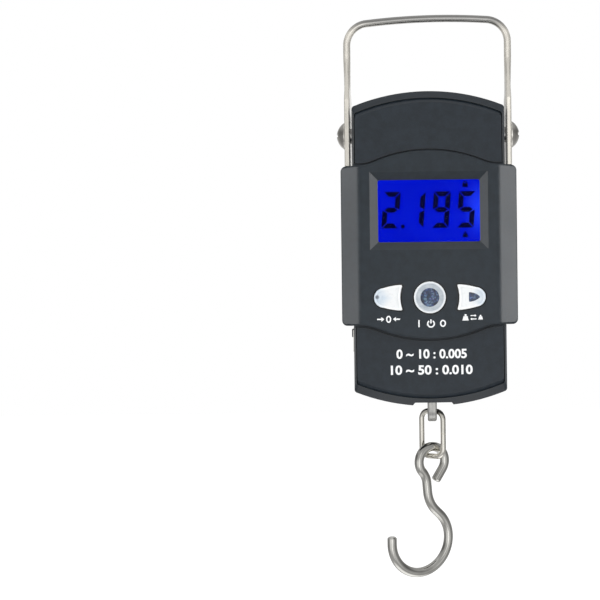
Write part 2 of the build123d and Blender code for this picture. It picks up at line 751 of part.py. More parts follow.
def battery_contacts():
    plates = []
    for side in (-1, 1):
        for z in (TROUGH_Z[0], TROUGH_Z[1] - 0.35):
            x = (side * AAA_X - 4.5, side * AAA_X + 4.5)
            plates.append(block(x, (0.2, 9.2), (z, z + 0.35)))
    return Compound(children=plates)


def battery_wires():
    """Leads from the foot of the compartment forward to the board."""
    leads = []
    for side in (-1, 1):
        points = [(side * 13.0, -2.5, -20), (side * 13.0, -2.5, -26.5), (side * 15.5, -5.8, -26.5)]
        leads.append(wire(0.5, points + [(side * 15.5, -5.8, -20)], 1.2))
    return Compound(children=leads)


# Pull-out tape ------------------------------------------------------------------------------


def drum_ribs():
    """Two ribs on the back cover that hold the spindle."""
    ribs = []
    for z in (DRUM_Z - 6.3, DRUM_Z + 5.1):
        rib = block((DRUM_X - 4, DRUM_X + 4), (-2.0, BACK_INSIDE_Y + 0.2), (z, z + 1.2))
        ribs.append(rib - rod_z(1.21, DRUM_X, 0, z - 1, z + 3))
    return ribs[0] + ribs[1]


def drum_spindle():
    return rod_z(1.2, DRUM_X, 0, DRUM_Z - 6.3, DRUM_Z + 6.3)


def tape_drum():
    half = TAPE_W / 2 + 0.5
    drum = rod_z(3.8, DRUM_X, 0, DRUM_Z - half, DRUM_Z + half)
    drum -= rod_z(2.9, DRUM_X, 0, DRUM_Z - 9, DRUM_Z + 9)
    for low, high in ((-half - 0.8, -half), (half, half + 0.8)):
        drum += rod_z(DRUM_FLANGE_R, DRUM_X, 0, DRUM_Z + low, DRUM_Z + high)
    return drum - rod_z(1.26, DRUM_X, 0, DRUM_Z - 9, DRUM_Z + 9)


def tape_coil():
    low, high = DRUM_Z - TAPE_W / 2, DRUM_Z + TAPE_W / 2
    return rod_z(COIL_R, DRUM_X, 0, low, high) - rod_z(3.82, DRUM_X, 0, low - 1, high + 1)


def drum_spring():
    low, high = DRUM_Z - 2.8, DRUM_Z + 2.8
    return rod_z(2.85, DRUM_X, 0, low, high) - rod_z(1.5, DRUM_X, 0, low - 1, high + 1)


def tape_strip():
    """The tape from its tab to where it leaves the coil, and the length that slides behind it."""
    y = COIL_R + 0.03
    return block(
        (-CASE_HALF_W - 0.1, TAPE_INSIDE_END_X),
        (y, y + TAPE_T),
        (DRUM_Z - TAPE_W / 2, DRUM_Z + TAPE_W / 2),
    )


def tape_tab():
    """The pull on the end of the tape, which lies against the flank over the tape's mouth."""
    x = -CASE_HALF_W - 0.1
    tab = block((x - 1.3, x), (4.6, 9.8), (DRUM_Z - 3.9, DRUM_Z + 5.4))
    return fillet(tab.edges().filter_by(Axis.X), 0.8)


def tape_tab_grip():
    x = -CASE_HALF_W - 1.4
    grip = block((x - 0.5, x), (4.9, 9.5), (DRUM_Z + 1.9, DRUM_Z + 5.1))
    return fillet(grip.faces().sort_by(Axis.X)[0].edges(), 0.3)


# Link and hook ------------------------------------------------------------------------------


def turned(shape, angle):
    """Turns a shape that was drawn in the load plane about the vertical."""
    return Rot(0, 0, angle) * shape


def link():
    """A wire link with straight flanks and rounded corners, its ends butted in one flank."""
    middle = (LINK_TOP_Z + LINK_BOTTOM_Z) / 2
    height = LINK_TOP_Z - LINK_BOTTOM_Z
    shape = RectangleRounded(2 * LINK_HALF_W, height, LINK_BEND_R)
    route = (Plane.XZ * (Pos(0, middle) * shape)).wire()
    start = Plane(origin=route @ 0, z_dir=route % 0)
    wire_link = sweep(start * Circle(LINK_WIRE_R), path=route)
    joint = Pos(LINK_HALF_W, 0, LINK_JOINT_Z) * Rot(0, 14, 0) * Box(4, 4, LINK_JOINT_GAP)
    return Pos(LINK_X, 0, 0) * turned(wire_link - joint, LINK_TURN)


# The hook's wire from the end of its eye to the point: straight lengths as one number, and
# bends as (radius, angle), where a positive angle turns left
HOOK_START = (1.5, -88.35)
HOOK_HEADING = 54.35
HOOK_ROUTE = [5.35, (5.6, 257.0), (7.6, -36.0), 3.6, (11.6, 40.5), 2.5, (12.25, -226.0), 2.6]


def hook():
    """A round bar bent in one plane: eye, shank and bowl, every bend tangent to the next."""
    here, heading = Vector(*HOOK_START), HOOK_HEADING
    edges = []
    for step in HOOK_ROUTE:
        ahead = Vector(cos(radians(heading)), sin(radians(heading)))
        if isinstance(step, tuple):
            radius, angle = step
            edge = JernArc(here, ahead, radius, angle)
            heading += angle
        else:
            edge = Line(here, here + ahead * step)
        edges.append(edge)
        here = edge @ 1
    route = Plane.XZ * Wire(edges)
    start = Plane(origin=route @ 0, z_dir=route % 0)
    bar = sweep(start * Circle(HOOK_WIRE_R), path=route)
    ends = [f.edges() for f in bar.faces().filter_by(GeomType.PLANE)]
    bar = chamfer([e for group in ends for e in group], HOOK_END_CHAMFER)
    return turned(bar, HOOK_TURN)


PIECES = {
    "bail": bail,
    "front_cover": front_cover,
    "back_cover": back_cover,
    "fascia": fascia,
    "display_window": display_window,
    "lcd_glass": lcd_glass,
    "backlight": backlight,
    "lcd_holder": lcd_holder,
    "zebra_strip": zebra_strip,
    "circuit_board": circuit_board,
    "chips": chips,
    "switch_housings": switch_housings,
    "board_screws": board_screws,
    "pivot_shaft": pivot_shaft,
    "pivot_screws": pivot_screws,
    "pivot_spacers": pivot_spacers,
    "shaft_collars": shaft_collars,
    "load_cell": load_cell,
    "strain_gauges": strain_gauges,
    "gauge_wires": gauge_wires,
    "battery_cells": battery_cells,
    "battery_springs": battery_springs,
    "battery_contacts": battery_contacts,
    "battery_wires": battery_wires,
    "case_screws": case_screws,
    "drum_spindle": drum_spindle,
    "battery_door": battery_door,
    "power_cap": power_cap,
    "power_lens": power_lens,
    "power_plunger": lambda: plunger(0),
    "tare_cap": lambda: side_cap(-1),
    "tare_plunger": lambda: plunger(-TACT_SWITCH_X),
    "unit_cap": lambda: side_cap(1, unit_lens_outline()),
    "unit_lens": unit_lens,
    "unit_plunger": lambda: plunger(TACT_SWITCH_X),
    "tape_strip": tape_strip,
    "tape_tab": tape_tab,
    "tape_tab_grip": tape_tab_grip,
    "tape_drum": tape_drum,
    "tape_coil": tape_coil,
    "drum_spring": drum_spring,
    "link": link,
    "hook": hook,
}


def save(name, shape):
    """Lowers a piece so that the grip is the origin, and writes it."""
    export_step(Pos(0, 0, -GRIP_Z) * shape, f"parts/{name}.step")


os.makedirs("parts", exist_ok=True)
for name, make in PIECES.items():
    save(name, make())
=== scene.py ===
import json
from math import cos, pi, radians, sin, tan

import bpy
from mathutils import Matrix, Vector


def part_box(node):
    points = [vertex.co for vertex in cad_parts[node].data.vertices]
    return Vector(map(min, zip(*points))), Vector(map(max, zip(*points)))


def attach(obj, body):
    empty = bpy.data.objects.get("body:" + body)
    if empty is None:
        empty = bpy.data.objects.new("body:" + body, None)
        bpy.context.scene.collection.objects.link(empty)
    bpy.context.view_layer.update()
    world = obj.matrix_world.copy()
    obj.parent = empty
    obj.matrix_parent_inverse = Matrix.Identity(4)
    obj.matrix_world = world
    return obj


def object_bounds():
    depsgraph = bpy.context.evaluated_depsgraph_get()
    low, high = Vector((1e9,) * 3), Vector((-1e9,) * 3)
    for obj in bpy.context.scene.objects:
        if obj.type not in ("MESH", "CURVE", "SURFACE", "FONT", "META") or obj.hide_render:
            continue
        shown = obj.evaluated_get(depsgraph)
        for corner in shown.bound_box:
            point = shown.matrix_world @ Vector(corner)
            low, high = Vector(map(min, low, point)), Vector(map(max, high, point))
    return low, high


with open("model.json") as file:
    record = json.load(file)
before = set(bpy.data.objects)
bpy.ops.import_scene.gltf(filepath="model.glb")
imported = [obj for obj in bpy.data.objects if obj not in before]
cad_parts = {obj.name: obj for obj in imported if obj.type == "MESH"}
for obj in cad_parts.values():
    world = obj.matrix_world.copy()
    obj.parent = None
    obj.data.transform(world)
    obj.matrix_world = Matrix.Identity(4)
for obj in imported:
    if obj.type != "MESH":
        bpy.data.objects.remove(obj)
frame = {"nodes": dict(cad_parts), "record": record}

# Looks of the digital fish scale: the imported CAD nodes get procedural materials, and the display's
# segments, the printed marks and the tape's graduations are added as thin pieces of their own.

CAD_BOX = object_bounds()
MM = 0.001

# Height over which the bail turns from its bright legs to the painted shade on its top arch
SHADED_TOP_FADE = 7 * MM
# Height of the grey mark over the middle of the left button
TIP_MARK_RISE = 0.3 * MM

CASE_LOW, CASE_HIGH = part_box("front_cover")
CASE_Z = (CASE_LOW.z + CASE_HIGH.z) / 2
CASE_FRONT_Y = CASE_LOW.y
FASCIA_FRONT_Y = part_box("fascia")[0].y
LCD_LOW, LCD_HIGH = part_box("lcd_glass")
LCD_Z = (LCD_LOW.z + LCD_HIGH.z) / 2


# Camera ---------------------------------------------------------------------------------------

CAMERA_LENS = 58.97
CAMERA_SHIFT_X = -0.2165
CAMERA_ROLL = 0.65
CAMERA_FROM_CASE = Vector((0, -0.3756, -0.0193))


def add_camera():
    data = bpy.data.cameras.new("camera")
    data.sensor_width = 36
    data.lens = CAMERA_LENS
    data.shift_x = CAMERA_SHIFT_X
    data.clip_start = 0.01
    data.clip_end = 20
    camera = bpy.data.objects.new("camera", data)
    camera.location = CAMERA_FROM_CASE + Vector((0, 0, CASE_Z))
    camera.rotation_euler = (radians(90), radians(CAMERA_ROLL), 0)
    bpy.context.scene.collection.objects.link(camera)
    bpy.context.scene.camera = camera


# Materials ------------------------------------------------------------------------------------


class Shader:
    """A Principled material, with short ways to drive it from procedural textures."""

    def __init__(self, name, color=(0.8, 0.8, 0.8), rough=0.5, metal=0.0):
        self.material = bpy.data.materials.new(name)
        self.material.use_nodes = True
        self.tree = self.material.node_tree
        self.bsdf = self.tree.nodes["Principled BSDF"]
        self.set("Base Color", (*color, 1))
        self.set("Roughness", rough)
        self.set("Metallic", metal)
        self.material.diffuse_color = (*color, 1)
        self.place = self.add("ShaderNodeTexCoord").outputs["Object"]

    def set(self, socket, value):
        self.bsdf.inputs[socket].default_value = value

    def add(self, kind, **settings):
        node = self.tree.nodes.new(kind)
        for key, value in settings.items():
            setattr(node, key, value)
        return node

    def link(self, source, target):
        self.tree.links.new(source, target)

    def drive(self, source, socket):
        self.link(source, self.bsdf.inputs[socket])

    def stretch(self, scale, source=None):
        node = self.add("ShaderNodeMapping")
        node.inputs["Scale"].default_value = scale
        self.link(source or self.place, node.inputs["Vector"])
        return node.outputs["Vector"]

    def noise(self, scale, detail=3.0, rough=0.55, place=None):
        node = self.add("ShaderNodeTexNoise")
        node.inputs["Scale"].default_value = scale
        node.inputs["Detail"].default_value = detail
        node.inputs["Roughness"].default_value = rough
        self.link(place or self.place, node.inputs["Vector"])
        return node.outputs["Fac"]

    def cells(self, scale, place=None, output="Distance"):
        node = self.add("ShaderNodeTexVoronoi")
        node.inputs["Scale"].default_value = scale
        self.link(place or self.place, node.inputs["Vector"])
        return node.outputs[output]

    def ramp(self, source, stops):
        """stops: pairs of position and a grey level or a colour."""
        node = self.add("ShaderNodeValToRGB")
        elements = node.color_ramp.elements
        while len(elements) < len(stops):
            elements.new(0.5)
        for element, (position, value) in zip(elements, stops):
            element.position = position
            element.color = (*value, 1) if isinstance(value, tuple) else (value, value, value, 1)
        self.link(source, node.inputs["Fac"])
        return node.outputs["Color"]

    def math(self, operation, a, b=None, c=None, clamp=False):
        node = self.add("ShaderNodeMath", operation=operation, use_clamp=clamp)
        for socket, value in zip(node.inputs, (a, b, c)):
            if isinstance(value, (int, float)):
                socket.default_value = value
            elif value is not None:
                self.link(value, socket)
        return node.outputs["Value"]

    def mix(self, factor, a, b, blend="MIX"):
        node = self.add("ShaderNodeMix", data_type="RGBA", blend_type=blend)
        for socket, value in ((node.inputs[0], factor), (node.inputs[6], a), (node.inputs[7], b)):
            if isinstance(value, tuple):
                socket.default_value = (*value, 1)
            elif isinstance(value, (int, float)):
                socket.default_value = value
            else:
                self.link(value, socket)
        return node.outputs[2]

    def axis(self, name):
        node = self.add("ShaderNodeSeparateXYZ")
        self.link(self.place, node.inputs["Vector"])
        return node.outputs[name]

    def bump(self, heights):
        """heights: (source, depth in metres) from coarse to fine."""
        normal = None
        for source, depth in heights:
            node = self.add("ShaderNodeBump")
            node.inputs["Strength"].default_value = 1.0
            node.inputs["Distance"].default_value = depth
            self.link(source, node.inputs["Height"])
            if normal is not None:
                self.link(normal, node.inputs["Normal"])
            normal = node.outputs["Normal"]
        self.drive(normal, "Normal")

    def edge_wear(self, radius, low=0.0, high=0.12):
        """1 on sharp edges, 0 on flats: the mask for a painted edge highlight."""
        rounded = self.add("ShaderNodeBevel", samples=4)
        rounded.inputs["Radius"].default_value = radius
        geometry = self.add("ShaderNodeNewGeometry")
        dot = self.add("ShaderNodeVectorMath", operation="DOT_PRODUCT")
        self.link(rounded.outputs["Normal"], dot.inputs[0])
        self.link(geometry.outputs["Normal"], dot.inputs[1])
        bend = self.math("SUBTRACT", 1.0, dot.outputs["Value"])
        return self.ramp(bend, [(low, 0.0), (high, 1.0)])


def moulded_plastic(name, dark, light, rough, grain_depth=9e-6, edge=None):
    """Spark-textured moulding: fine grain in the bump, faint mottling and a painted highlight along sharp
    edges.
    """
    s = Shader(name, light, rough)
    grain = s.noise(2600, detail=2.0)
    mottle = s.noise(420, detail=4.0)
    broad = s.noise(38, detail=2.0)
    tone = s.mix(0.35, mottle, grain)
    color = s.ramp(tone, [(0.38, dark), (0.62, light)])
    if edge is not None:
        # Painted highlight: sharp edges lighten towards the edge colour, as if they caught the light
        color = s.mix(s.math("MULTIPLY", s.edge_wear(0.0005), 0.55), color, edge)
    s.drive(color, "Base Color")
    shine = s.math("MULTIPLY_ADD", broad, 0.14, rough - 0.10)
    s.drive(s.math("MULTIPLY_ADD", mottle, 0.10, shine), "Roughness")
    s.bump([(broad, 3e-5), (grain, grain_depth)])
    s.set("Specular IOR Level", 0.5)
    return s.material


def bright_steel(name, light, dark, rough, metal=1.0, top=None):
    """Nickel-bright steel: drawing lines along Z, faint cloudiness and small handling marks.

    metal: below 1 for a satin look. top: a darker, less metallic tone painted on the upper part as shade.
    """
    s = Shader(name, light, rough, metal)
    drawn = s.noise(900, detail=3.0, place=s.stretch((1, 1, 0.06)))
    cloud = s.noise(130, detail=3.0)
    marks = s.ramp(s.cells(260, output="Distance"), [(0.0, 1.0), (0.05, 0.0)])
    color = s.ramp(cloud, [(0.35, dark), (0.65, light)])
    if top is not None:
        # Painted shade: colour and metal turn darker and duller towards the top of the piece
        height = s.math("MULTIPLY_ADD", s.axis("Z"), 1 / SHADED_TOP_FADE, 1.0)
        painted_top_shade = s.ramp(s.math("MULTIPLY_ADD", cloud, 0.12, height), [(0.30, 0.0), (0.90, 1.0)])
        color = s.mix(painted_top_shade, color, top)
        s.drive(s.math("MULTIPLY_ADD", painted_top_shade, 1.0 - metal, metal), "Metallic")
    s.drive(s.mix(s.math("MULTIPLY", marks, 0.2), color, (0.42, 0.40, 0.37)), "Base Color")
    s.drive(s.ramp(s.mix(0.5, drawn, cloud), [(0.3, rough - 0.06), (0.7, rough + 0.06)]), "Roughness")
    s.bump([(cloud, 1.2e-5), (drawn, 2.5e-6), (marks, 2e-6)])
    return s.material


def plated_steel():
    s = Shader("plated_steel", (0.60, 0.60, 0.60), 0.3, 1.0)
    cloud = s.noise(300, detail=3.0)
    lines = s.noise(1500, detail=2.0, place=s.stretch((0.1, 1, 1)))
    s.drive(s.ramp(cloud, [(0.35, (0.48, 0.48, 0.48)), (0.65, (0.66, 0.65, 0.63))]), "Base Color")
    s.drive(s.ramp(lines, [(0.3, 0.22), (0.7, 0.42)]), "Roughness")
    s.bump([(lines, 3e-6)])
    return s.material


def cell_alloy():
    """Ground aluminium plate, with grinding lines along its length."""
    s = Shader("cell_alloy", (0.55, 0.55, 0.54), 0.4, 1.0)
    lines = s.noise(1400, detail=4.0, place=s.stretch((1, 1, 0.03)))
    cloud = s.noise(180, detail=2.0)
    s.drive(s.ramp(lines, [(0.3, (0.44, 0.44, 0.43)), (0.7, (0.66, 0.65, 0.62))]), "Base Color")
    s.drive(s.ramp(cloud, [(0.3, 0.32), (0.7, 0.48)]), "Roughness")
    s.bump([(lines, 6e-6)])
    return s.material


def clear_window():
    s = Shader("clear_window", (1, 1, 1), 0.03)
    s.set("Transmission Weight", 1.0)
    s.set("IOR", 1.08)
    smear = s.noise(60, detail=3.0)
    s.drive(s.ramp(smear, [(0.35, 0.005), (0.75, 0.05)]), "Roughness")
    s.bump([(s.noise(24, detail=1.0), 4e-6)])
    return s.material


def display_blue():
    """Backlit blue display: even field, brighter where the lamp sits beside it, fine dot pattern."""
    s = Shader("display_blue", (0.0, 0.002, 0.04), 0.35)
    half_w = (LCD_HIGH.x - LCD_LOW.x) / 2
    across = s.math("SUBTRACT", s.axis("X"), (LCD_HIGH.x + LCD_LOW.x) / 2 + 0.90 * half_w)
    up = s.math("SUBTRACT", s.axis("Z"), LCD_Z + 0.0005)
    near = s.math("ADD", s.math("POWER", s.math("MULTIPLY", across, 150.0), 2.0),
                  s.math("POWER", s.math("MULTIPLY", up, 85.0), 2.0))
    glow = s.math("POWER", s.math("SUBTRACT", 1.0, near, clamp=True), 1.6)
    field = s.ramp(s.noise(55, detail=2.0), [(0.3, (0.0002, 0.0032, 0.55)), (0.7, (0.0004, 0.0050, 0.63))])
    lit = s.mix(glow, field, (0.012, 0.042, 0.96))
    dots = s.ramp(s.cells(5200), [(0.0, 1.0), (0.9, 0.90)])
    s.drive(s.mix(1.0, lit, dots, blend="MULTIPLY"), "Emission Color")
    s.set("Emission Strength", 1.0)
    s.set("Specular IOR Level", 0.0)
    return s.material


def display_segments():
    """Segments that block the backlight, with a little of the blue still coming through."""
    s = Shader("display_segments", (0.001, 0.001, 0.006), 0.4)
    leak = s.ramp(s.noise(900, detail=2.0), [(0.3, (0.0002, 0.0003, 0.016)), (0.7, (0.0003, 0.0004, 0.022))])
    s.drive(leak, "Emission Color")
    s.set("Emission Strength", 1.0)
    s.set("Specular IOR Level", 0.0)
    return s.material


def milky(name, light, shade, rough=0.3):
    """Milky translucent plastic with flow lines and a soft depth."""
    s = Shader(name, light, rough)
    flow = s.noise(210, detail=3.0, place=s.stretch((1, 1, 1.8)))
    s.drive(s.ramp(flow, [(0.3, shade), (0.6, light)]), "Base Color")
    s.drive(s.ramp(s.noise(700, detail=2.0), [(0.3, rough - 0.08), (0.7, rough + 0.1)]), "Roughness")
    s.set("Subsurface Weight", 0.25)
    s.set("Subsurface Radius", (0.0012, 0.0013, 0.0016))
    s.set("Subsurface Scale", 1.0)
    s.bump([(flow, 8e-6)])
    return s.material


def button_cap(node, light, shade, fade=0):
    """Milky cap over a lamp: white rim, painted shade in its dish, and painted dark shade on the skirt down
    in its gap.

    fade: 0 paints shade on the cap around its middle; -1 and 1 paint shade towards its left or right tip.
    The left cap has a small grey mark near its tip.
    """
    low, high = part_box(node)
    middle = (low + high) / 2
    s = Shader(node, light, 0.28)
    flow = s.noise(330, detail=4.0, place=s.stretch((1, 1, 1.8)))
    x = s.math("SUBTRACT", s.axis("X"), middle.x)
    z = s.math("SUBTRACT", s.axis("Z"), middle.z)
    # Painted shade: the cap darkens to its shade colour in the dish, around the lens or towards a tip
    if fade:
        # 0 at the inner end, 1 at the tip
        along = s.math("MULTIPLY_ADD", x, fade / (high.x - low.x), 0.5)
        off = s.math("ABSOLUTE", s.math("MULTIPLY", z, 2 / (high.z - low.z)))
        painted_dish_shade = s.ramp(s.math("MULTIPLY_ADD", off, -0.42, along), [(0.32, 0.0), (0.60, 1.0)])
    else:
        reach = s.math("SQRT", s.math("ADD", s.math("POWER", x, 2.0), s.math("POWER", z, 2.0)))
        painted_dish_shade = s.ramp(s.math("MULTIPLY", reach, 100.0), [(0.40, 1.0), (0.50, 0.85), (0.55, 0.1), (0.58, 0.0)])
    shaded_color = s.mix(s.math("MULTIPLY", painted_dish_shade, s.ramp(flow, [(0.3, 0.55), (0.7, 1.0)])), light, shade)
    if fade < 0:
        mark_x = (low.x - middle.x) * 0.66
        away = s.math("POWER", s.math("SUBTRACT", x, mark_x), 2.0)
        away = s.math("ADD", away, s.math("POWER", s.math("SUBTRACT", z, TIP_MARK_RISE), 2.0))
        mark = s.ramp(s.math("MULTIPLY", s.math("SQRT", away), 1000.0), [(0.45, 0.85), (0.95, 0.0)])
        shaded_color = s.mix(mark, shaded_color, (0.12, 0.14, 0.18))
    # Painted shade: the skirt below the rim, down in the gap, is coloured near black
    depth = s.math("SUBTRACT", s.axis("Y"), low.y - 0.0005)
    painted_gap_shade = s.ramp(depth, [(0.0, 0.0), (0.0011, 0.0), (0.0013, 1.0)])
    s.drive(s.mix(painted_gap_shade, shaded_color, (0.012, 0.014, 0.016)), "Base Color")
    s.drive(s.ramp(s.noise(700, detail=2.0), [(0.3, 0.22), (0.7, 0.38)]), "Roughness")
    s.bump([(flow, 8e-6)])
    return s.material


def button_window():
    """Tinted lens over a crackled foil, which shows as dark blue and grey flecks."""
    s = Shader("button_window", (0.07, 0.10, 0.17), 0.22)
    flecks = s.cells(1500, output="Color")
    spread = s.noise(1100, detail=4.0)
    shade = s.ramp(spread, [(0.36, (0.006, 0.010, 0.026)), (0.52, (0.028, 0.052, 0.115)),
                            (0.66, (0.12, 0.19, 0.30))])
    s.drive(s.mix(0.18, shade, flecks, blend="OVERLAY"), "Base Color")
    s.drive(s.ramp(spread, [(0.3, 0.35), (0.7, 0.14)]), "Roughness")
    s.set("Coat Weight", 0.35)
    s.set("Coat Roughness", 0.06)
    s.bump([(spread, 3e-5)])
    return s.material


def board_green():
    """Solder mask over copper tracks, as a grid of green blocks."""
    s = Shader("board_green", (0.02, 0.16, 0.06), 0.35)
    blocks = s.add("ShaderNodeTexBrick", offset=0.5, squash=1.0)
    blocks.inputs["Scale"].default_value = 420
    blocks.inputs["Mortar Size"].default_value = 0.03
    blocks.inputs["Color1"].default_value = (0.018, 0.14, 0.05, 1)
    blocks.inputs["Color2"].default_value = (0.03, 0.20, 0.075, 1)
    blocks.inputs["Mortar"].default_value = (0.06, 0.28, 0.11, 1)
    turn = s.add("ShaderNodeMapping")
    turn.inputs["Rotation"].default_value = (radians(90), 0, 0)
    s.link(s.place, turn.inputs["Vector"])
    s.link(turn.outputs["Vector"], blocks.inputs["Vector"])
    s.drive(blocks.outputs["Color"], "Base Color")
    s.drive(s.ramp(s.noise(300), [(0.3, 0.28), (0.7, 0.42)]), "Roughness")
    s.bump([(blocks.outputs["Fac"], 1.5e-5)])
    return s.material


def film(name, dark, light, rough, scale=500, metal=0.0):
    """Thin lacquered or printed skin: colour that drifts a little, small scuffs in the gloss."""
    s = Shader(name, light, rough, metal)
    drift = s.noise(scale, detail=3.0)
    s.drive(s.ramp(drift, [(0.3, dark), (0.7, light)]), "Base Color")
    s.drive(s.ramp(s.noise(scale * 3, detail=2.0), [(0.3, rough - 0.08), (0.7, rough + 0.12)]), "Roughness")
    s.bump([(drift, 6e-6)])
    return s.material


def battery_wrap():
    """Plain printed sleeve, dark with one pale band near the top end."""
    s = Shader("battery_wrap", (0.1, 0.11, 0.12), 0.3)
    low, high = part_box("battery_cells")
    band = s.math("GREATER_THAN", s.axis("Z"), high.z - 0.010)
    base = s.ramp(s.noise(700, detail=3.0), [(0.3, (0.06, 0.065, 0.075)), (0.7, (0.11, 0.12, 0.135))])
    s.drive(s.mix(band, base, (0.45, 0.33, 0.12)), "Base Color")
    s.drive(s.ramp(s.noise(400), [(0.3, 0.22), (0.7, 0.36)]), "Roughness")
    s.set("Coat Weight", 0.4)
    return s.material


def print_ink():
    """Screen-printed white ink: slightly uneven cover, matt."""
    s = Shader("print_white", (0.86, 0.87, 0.88), 0.6)
    cover = s.noise(2400, detail=3.0)
    s.drive(s.ramp(cover, [(0.28, (0.62, 0.64, 0.66)), (0.5, (0.90, 0.91, 0.92))]), "Base Color")
    s.drive(s.ramp(cover, [(0.3, 0.5), (0.7, 0.7)]), "Roughness")
    s.bump([(cover, 6e-6)])
    return s.material


def print_black():
    s = Shader("print_black", (0.02, 0.02, 0.02), 0.5)
    cover = s.noise(2400, detail=3.0)
    s.drive(s.ramp(cover, [(0.3, (0.012, 0.012, 0.012)), (0.7, (0.04, 0.04, 0.04))]), "Base Color")
    s.bump([(cover, 4e-6)])
    return s.material


SLOT_MATERIALS = {
    "polished_steel": bright_steel("polished_steel", (0.78, 0.77, 0.73), (0.62, 0.61, 0.575), 0.14),
    # The edge colours below are painted highlights on the case and panel edges
    "case_plastic": moulded_plastic(
        "case_plastic", (0.0035, 0.007, 0.011), (0.0075, 0.0125, 0.0185), 0.40, edge=(0.030, 0.034, 0.036)
    ),
    "fascia_plastic": moulded_plastic(
        "fascia_plastic", (0.004, 0.008, 0.012), (0.008, 0.0135, 0.0195), 0.37, edge=(0.030, 0.034, 0.036)
    ),
    "clear_window": clear_window(),
    "display_blue": display_blue(),
    "light_guide": milky("light_guide", (0.85, 0.9, 1.0), (0.75, 0.82, 0.95), 0.2),
    "inner_plastic": moulded_plastic("inner_plastic", (0.62, 0.61, 0.57), (0.76, 0.75, 0.71), 0.5),
    "elastomer": moulded_plastic("elastomer", (0.018, 0.018, 0.018), (0.035, 0.035, 0.036), 0.75),
    "board_green": board_green(),
    "chip_black": moulded_plastic("chip_black", (0.014, 0.014, 0.015), (0.03, 0.03, 0.032), 0.55),
    "plated_steel": plated_steel(),
    "cell_alloy": cell_alloy(),
    "gauge_film": film("gauge_film", (0.55, 0.28, 0.06), (0.72, 0.42, 0.12), 0.3, scale=1500),
    "wire_red": film("wire_red", (0.38, 0.02, 0.02), (0.55, 0.04, 0.03), 0.45),
    "battery_wrap": battery_wrap(),
    "button_white": milky("button_white", (0.88, 0.91, 0.93), (0.76, 0.81, 0.86)),
    "button_window": button_window(),
    "tape_yellow": film("tape_yellow", (0.68, 0.50, 0.05), (0.83, 0.65, 0.10), 0.35, scale=260),
}


# Pieces that look a little different from the others with their finish; the bail's top and the button caps
# also carry painted shade
OWN_MATERIALS = {
    # The bail's top arch carries painted shade: a darker, less metallic tone
    "bail": bright_steel(
        "bail_steel", (0.97, 0.93, 0.84), (0.92, 0.88, 0.80), 0.17, metal=0.62, top=(0.41, 0.405, 0.39)
    ),
    "link": bright_steel("link_steel", (0.86, 0.83, 0.76), (0.70, 0.68, 0.62), 0.13),
    "pivot_screws": bright_steel("screw_steel", (0.80, 0.78, 0.73), (0.52, 0.50, 0.47), 0.22, metal=0.97),
    "power_cap": button_cap("power_cap", (0.90, 0.93, 0.95), (0.42, 0.48, 0.54)),
    "tare_cap": button_cap("tare_cap", (0.97, 0.99, 1.0), (0.68, 0.78, 0.88), fade=-1),
    "unit_cap": button_cap("unit_cap", (0.97, 0.99, 1.0), (0.70, 0.79, 0.88), fade=1),
}


def dress_cad_nodes():
    for part in frame["record"]["subparts"]:
        node = frame["nodes"][part["node"]]
        node.data.materials.clear()
        node.data.materials.append(OWN_MATERIALS.get(part["node"]) or SLOT_MATERIALS[part["material_slot"]])


# Thin flat pieces -----------------------------------------------------------------------------


def finish_piece(name, mesh, material, body):
    mesh.materials.clear()
    mesh.materials.append(material)
    piece = bpy.data.objects.new(name, mesh)
    bpy.context.scene.collection.objects.link(piece)
    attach(piece, body)
    return piece


def plates(name, outlines, front_y, depth, material, body):
    """Closed plates cut to outlines, lists of (x, z) in metres, from front_y to front_y + depth."""
    points, faces = [], []
    for outline in outlines:
        area = sum(a[0] * b[1] - b[0] * a[1] for a, b in zip(outline, outline[1:] + outline[:1]))
        ring = outline if area > 0 else outline[::-1]
        first, count = len(points), len(ring)
        points += [(x, front_y, z) for x, z in ring] + [(x, front_y + depth, z) for x, z in ring]
        faces.append([first + i for i in range(count)])
        faces.append([first + count + i for i in reversed(range(count))])
        for i in range(count):
            j = (i + 1) % count
            faces.append([first + j, first + i, first + count + i, first + count + j])
    mesh = bpy.data.meshes.new(name)
    mesh.from_pydata(points, [], faces)
    mesh.validate()
    return finish_piece(name, mesh, material, body)


def disc(x, z, radius, sides=28):
    turn = 2 * pi / sides
    return [(x + radius * cos(i * turn), z + radius * sin(i * turn)) for i in range(sides)]


def arc_band(x, z, radius, width, start, end, sides=28):
    """A ring or part of one, as a single outline; angles in degrees, anticlockwise from +X."""
    angles = [radians(start + (end - start) * i / sides) for i in range(sides + 1)]
    outer = [(x + (radius + width / 2) * cos(a), z + (radius + width / 2) * sin(a)) for a in angles]
    inner = [(x + (radius - width / 2) * cos(a), z + (radius - width / 2) * sin(a)) for a in angles]
    return outer + inner[::-1]


def oblong(x, z, width, height):
    w, h = width / 2, height / 2
    return [(x - w, z - h), (x + w, z - h), (x + w, z + h), (x - w, z + h)]


def arrow(x, z, length, width, shaft):
    """An arrow along X centred on x: positive length points right."""
    tip, tail = x + length / 2, x - length / 2
    neck = tip - width * 0.62 * (1 if length > 0 else -1)
    return [
        (tail, z - shaft / 2), (neck, z - shaft / 2), (neck, z - width / 2), (tip, z),
        (neck, z + width / 2), (neck, z + shaft / 2), (tail, z + shaft / 2),
    ]


def weight_sign(x, z, size):
    """A small balance weight: a trapezium with a knob."""
    half, top = size * 0.5, size * 0.32
    shoulder = z + half * 0.35
    body = [(x - half, z - half), (x + half, z - half), (x + top, shoulder), (x - top, shoulder)]
    return [body, disc(x, z + half * 0.72, size * 0.17, 16)]


